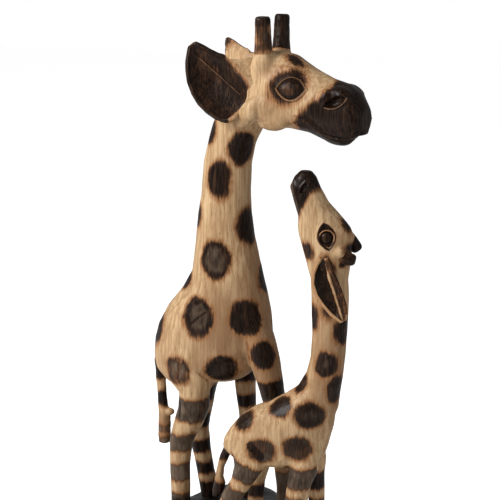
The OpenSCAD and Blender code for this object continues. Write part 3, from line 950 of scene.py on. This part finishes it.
def calf_face_height(points):
    """The cuts in the calf's face, in mm out from its smooth form."""
    out = np.abs(points[:, 1] - calf_middle)
    x, z = points[:, 0], points[:, 2]
    ring = almond(x, z, **calf_eye)
    socket = np.interp(ring, [0, 0.85, 1.0, 1.1, 1.35], [-1.9, -1.7, -0.1, 0.35, 0])
    from_ball = np.hypot(x - calf_ball[0], z - calf_ball[1])
    ball = np.interp(from_ball, [0, 2.6, 4.4, 5.4, 6.0, 6.6, 7.4], [2.6, 2.3, 1.3, -0.5, 1.2, 1.4, 0])
    eye_cut = np.where(ring < 1.35, socket + ball * (ring < 1.0), 0)
    ring = almond(x, z, **calf_nostril)
    nostril_cut = np.interp(ring, [0, 0.8, 1.1, 1.5, 2.2], [-2.6, -2.0, 0.4, 0.5, 0])
    from_lips = x - np.interp(z, *calf_lips)
    lip_cut = np.interp(from_lips, [-3, -1.2, 0, 0.9, 1.8, 3.5], [0, -0.4, -1.9, -0.5, 0.7, 0])
    lip_cut = lip_cut * np.interp(z, [342, 347, 366, 369], [0, 1, 1, 0])
    total = np.where(out > 6, eye_cut, 0) + np.where(out > 3, nostril_cut, 0)
    return np.where(z > calf_face_from, total + np.where(out > 2, lip_cut, 0), 0)


cut_in(calf, calf_face_height)
cut_in(calf, lambda spots: 0.4 * (ripple(spots, 20, 15) + 0.4 * ripple(spots, 8, 16)))

# A slip of the gouge through the spot on its near flank, from (x, z) to (x, z)
gouge = ((13, 124.5), (23, 115))
near_flank = -50
cut_in(calf, lambda spots: np.where(spots[:, 1] < near_flank, -2.0 * along_cut(spots, *gouge, 2.6), 0))

# The two flank spots are burnt red-brown, the rest nearly black: (x, y, z, half width, half height)
calf_flank_spots = [(23, -61, 122, 13, 10.5), (55, -59, 126, 12.5, 11)]
calf_spots = [
    (93, -46, 235, 9.5, 12), (79, -53, 205, 10.5, 11.5), (89, -48, 181, 10, 13.5),
    (64, -45, 245, 7.5, 12), (55, -45, 184, 7.5, 10.5), (66, -58, 158, 13.2, 12.5),
    (4, -48, 146, 9.5, 12), (38, -52, 164, 10.5, 11.5), *calf_flank_spots,
    (59.5, -48, 305.5, 6.2, 7.4), (92, -41, 326, 4.3, 8.5),
    # The far side and the chest
    (92, -28, 262, 8, 10), (72, -24, 226, 9, 11), (90, -26, 206, 9, 11), (64, -22, 172, 11, 12),
    (36, -18, 148, 13, 11), (4, -22, 132, 11, 11), (52, -15, 122, 11, 9), (20, -28, 164, 9, 8),
    (64, -27, 304, 5.5, 7), (88, -24, 150, 9, 11), (91, -34, 325, 4, 7)]
calf_bands = [
    (58, -54, 98, 15, 9, 0.1), (51, -54, 70, 13, 8, 0), (48, -54, 44, 12, 7, 0),
    (67, -22, 82.5, 12, 8.5, 0), (68, -22, 56, 11, 7, 0), (9, -54, 98, 17, 8, -0.35),
    (-5, -54, 76.5, 14, 7, -0.3), (-9, -54, 50, 12, 7.5, 0), (10, -22, 66, 12, 6, 0),
    (10, -22, 44, 11, 6, 0)]
calf_hooves = [
    (-9, -54, 14, 12, 15, 0), (11, -22, 14, 12, 15, 0), (46, -54, 12, 13, 15, 0), (68, -22, 12, 12, 15, 0)]
muzzle_along = [46, 50, 53.4, 58.4, 62, 68.7, 76]
muzzle_rise = [326, 333, 339, 348, 356, 361, 364]

points = mesh_points(calf)
out = np.abs(points[:, 1] - calf_middle)
x, z = points[:, 0], points[:, 2]
on_head = z > calf_head_from
burn = np.maximum(from_spots(points, calf_spots), from_bands(points, calf_bands))
burn = np.maximum(burn, from_bands(points, calf_hooves))
burn = np.where(on_head, np.minimum(burn, 1.8), burn)
red_spots = from_spots(points, calf_flank_spots)
burn = np.where(red_spots > 0, np.minimum(burn, 2.1 + 0.8 * ripple(points, 14, 21)), burn)
muzzle = (z - np.interp(x, muzzle_along, muzzle_rise)) * 0.7
burn = darkened_where(burn, z > 320, muzzle)
ring = almond(x, z, **calf_eye)
burn = darkened_where(burn, on_head & (out > 6), np.interp(ring, [0.9, 1.06, 1.25], [8, 0, -9]))
# A dark patch by the horns' feet, partly burn and partly painted shadow, and a small painted shadow under
# the near horn
horn_burn_and_shadow = np.maximum(
    1 - np.hypot((x - 97) / 5, (z - 309) / 6), 0.8 - np.hypot((x - 91) / 3.5, (z - 295.5) / 3.5))
burn = darkened_where(burn, (z > 288) & (z < 318) & (x > 84), horn_burn_and_shadow * 5 - 1.5)
ear_foot = 1 - np.hypot((x - 78) / 7, (z - 296) / 9)
burn = darkened_where(burn, (z > 280) & (z < 310) & (out > 9), ear_foot * 6 - 1)
under_ear = 1 - np.hypot((x - 80) / 9, (z - 256) / 11)
burn = darkened_where(burn, (z > 240) & (z < 270) & (out > 8), under_ear * 4.5 - 2)
seared = along_cut(points, *gouge, 3) * (points[:, 1] < near_flank)
burn = darkened_where(burn, seared > 0.2, 9 * seared)
paint(calf, burn=as_burn(burn))
rubbed = 0.32 * np.clip(from_spots(points, calf_spots) / 8, 0, 1)
near_legs = np.interp(z, [25, 50, 110, 150], [0.1, 0.75, 0.5, 0.25]) * (burn > -1)
rubbed = np.maximum(rubbed, near_legs * (points[:, 1] < -36))
# Raw wood darker towards the front of the chest and over the lower neck, fading out above
raw_wood_darkening = 0.65 * np.interp(x + 0.35 * (z - 150), [66, 96], [0, 1]) * (burn < -1)
raw_wood_darkening = raw_wood_darkening * np.interp(z, [215, 282], [1, 0])
rubbed = np.maximum(rubbed, raw_wood_darkening) * (1 - seared)
jaw = 0.5 * (x < np.interp(z, *calf_lips)) * (z > 335)
paint(calf, rubbed=np.where(on_head, jaw, rubbed))
from_ball = np.hypot(x - calf_ball[0], z - calf_ball[1])
upper = z - calf_ball[1] > -0.4 * (x - calf_ball[0]) - 0.5
line = np.interp(np.abs(from_ball - 6.3), [0, 0.45, 0.8], [0.85, 0.6, 0]) * upper * (ring < 1.0)
lower = (x > 77) & (z < 323)
line = np.maximum(line, np.interp(np.abs(ring - 0.86), [0, 0.04, 0.09], [0.8, 0.5, 0]) * lower)
paint(calf, line=np.where(on_head & (out > 6), line, 0))
calf.data.materials.append(wood)
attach(calf, "root")
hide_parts("calf_body")


# ---- Calf's horns -----------------------------------------------------------------------------
# Two short round knobs of the same wood that lie back from the lifted head, glued in by tenons. The
# near one is burnt brown and the far one black.

# (height above the foot, radius)
knob_profile = [(-5, 5.4), (0, 5.6), (4, 5.5), (7, 5.5), (9, 5.3), (10.5, 4.5), (11.6, 2.8)]
near_knob = dict(node="calf_horn_left", foot=(90.5, -46, 301.5), tip_back=101)
far_knob = dict(node="calf_horn_right", foot=(95.5, -31, 313), tip_back=143)
for knob in (near_knob, far_knob):
    horn = turned_horn(knob["node"] + "_carving", knob["foot"], knob_profile, lean=0, knock=0.35)
    rise = mesh_points(horn)[:, 2] - knob["foot"][2]
    dark = (0.54, 0.6) if knob is near_knob else (0.8, 1.0)
    paint(horn, burn=np.interp(rise, [-1, 3, 10], [0.45, *dark]), rubbed=0, line=0)
    turn_about(horn, knob["foot"], knob["tip_back"], axis="Y")
    horn.data.materials.append(wood)
    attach(horn, "root")
    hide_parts(knob["node"])


# ---- Calf's ears ------------------------------------------------------------------------------
# Pointed leaves that hang down the neck from the lifted head, glued in by tenons. They are hollowed
# either side of a broad pale rib, burnt black below it and brown above.

calf_ear_low = ([0, 4, 10, 18, 28, 38, 47, 54, 57], [-1, -6, -11, -14.5, -14.5, -11.5, -7.5, -2.5, 0])
calf_ear_high = ([0, 6, 14, 24, 34, 44, 52, 57], [1, 2, 3.4, 4.4, 5, 4.8, 3, 0])
calf_rib_at = -0.3
for side, node in ((-1, "calf_ear_left"), (1, "calf_ear_right")):
    ear, inner, along, across = hollow_ear(
        node + "_carving", root=(75, -52.3, 301), tip=(94.5 if side < 0 else 86, -61.5, 249),
        upward=(0.94, 0, 0.33), low_edge=calf_ear_low, high_edge=calf_ear_high, wall=3.0,
        cup=4.2, cup_top=99, rib_at=calf_rib_at, rib=(3.2, 2.2), tuck=([0, 57], [99, 99]), rows=44)
    below = across < calf_rib_at
    burn = np.where(inner, np.where(below, 0.98, 0.53), 0.22)
    burn = np.where(inner, burn * np.interp(along, [0, 9], [0.75, 1]), burn)
    burn = np.where(inner, burn, burn + np.interp(along, [6, 14], [0.25, 0]))
    low = np.interp(along, *calf_ear_low)
    edge = np.clip(1 - np.abs(across - low) / 1.1, 0, 1)
    on_rib = np.interp(np.abs(across - calf_rib_at), [0.9, 2.0], [1, 0]) * inner
    on_rib = on_rib * np.interp(along, [7, 16, 50, 56], [0, 1, 1, 0.3])
    burn = np.where(inner, burn * (1 - edge * 0.8) * (1 - 0.56 * on_rib), burn)
    paint(ear, burn=np.clip(burn, 0, 1))
    paint(ear, line=np.maximum(edge * inner * 0.6, on_rib * 0.25))
    paint(ear, rubbed=np.where(inner & ~below, 0.2, 0.0))
    if side > 0:
        mirror_across(ear, calf_middle)
    ear.data.materials.append(wood)
    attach(ear, "root")
    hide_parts(node)


# ---- Calf's tail ------------------------------------------------------------------------------
# A short curled stick of the same wood, set into the rump by a tenon. Its root and its blunt tuft
# are burnt brown.

calf_tail_sections = [
    (-4, -38, 122, 8, 8), (-10, -38, 114, 6, 6), (-15.5, -38, 104, 4.4, 4.6),
    (-19.5, -38, 92, 3.5, 3.6), (-20.8, -38, 82, 3.7, 3.8), (-20.5, -38, 76, 5.6, 5),
    (-22, -38, 68, 5.6, 5), (-24, -38, 62, 3.5, 3.5)]
calf_tail = blend_block(
    "calf_tail_carving", [rough_out("calf_tail_carving", calf_tail_sections)],
    grain_of_mesh=0.7, smoothing=4)
cut_in(calf_tail, lambda spots: 0.3 * ripple(spots, 6, 17))
points = mesh_points(calf_tail)
burn = from_bands(points, [(-12, -38, 107, 9, 6.5, 0), (-22, -38, 68, 14, 10, 0)])
paint(calf_tail, burn=as_burn(burn), rubbed=0.3, line=0)
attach(calf_tail, "root")
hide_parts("calf_tail")
calf_tail.data.materials.append(wood)


# ---- Foot dowels ------------------------------------------------------------------------------
# Eight plain birch dowels, one up each leg and down into the mound. They are turned rod, cut to
# length and glued, and are hidden once the statue is put together.

birch, tree, skin = finish("birch_dowel")
fibres = streaks(tree, 800, 30, detail=4)
shade = tinted(tree, (0.62, 0.45, 0.27), (0.74, 0.59, 0.40), between(tree, fibres, 0.35, 0.65))
tree.links.new(shade, skin.inputs["Base Color"])
tree.links.new(between(tree, fibres, 0.3, 0.7, 0.55, 0.7), skin.inputs["Roughness"])
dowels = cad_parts["foot_dowels"]
dowels.data.materials.clear()
dowels.data.materials.append(birch)
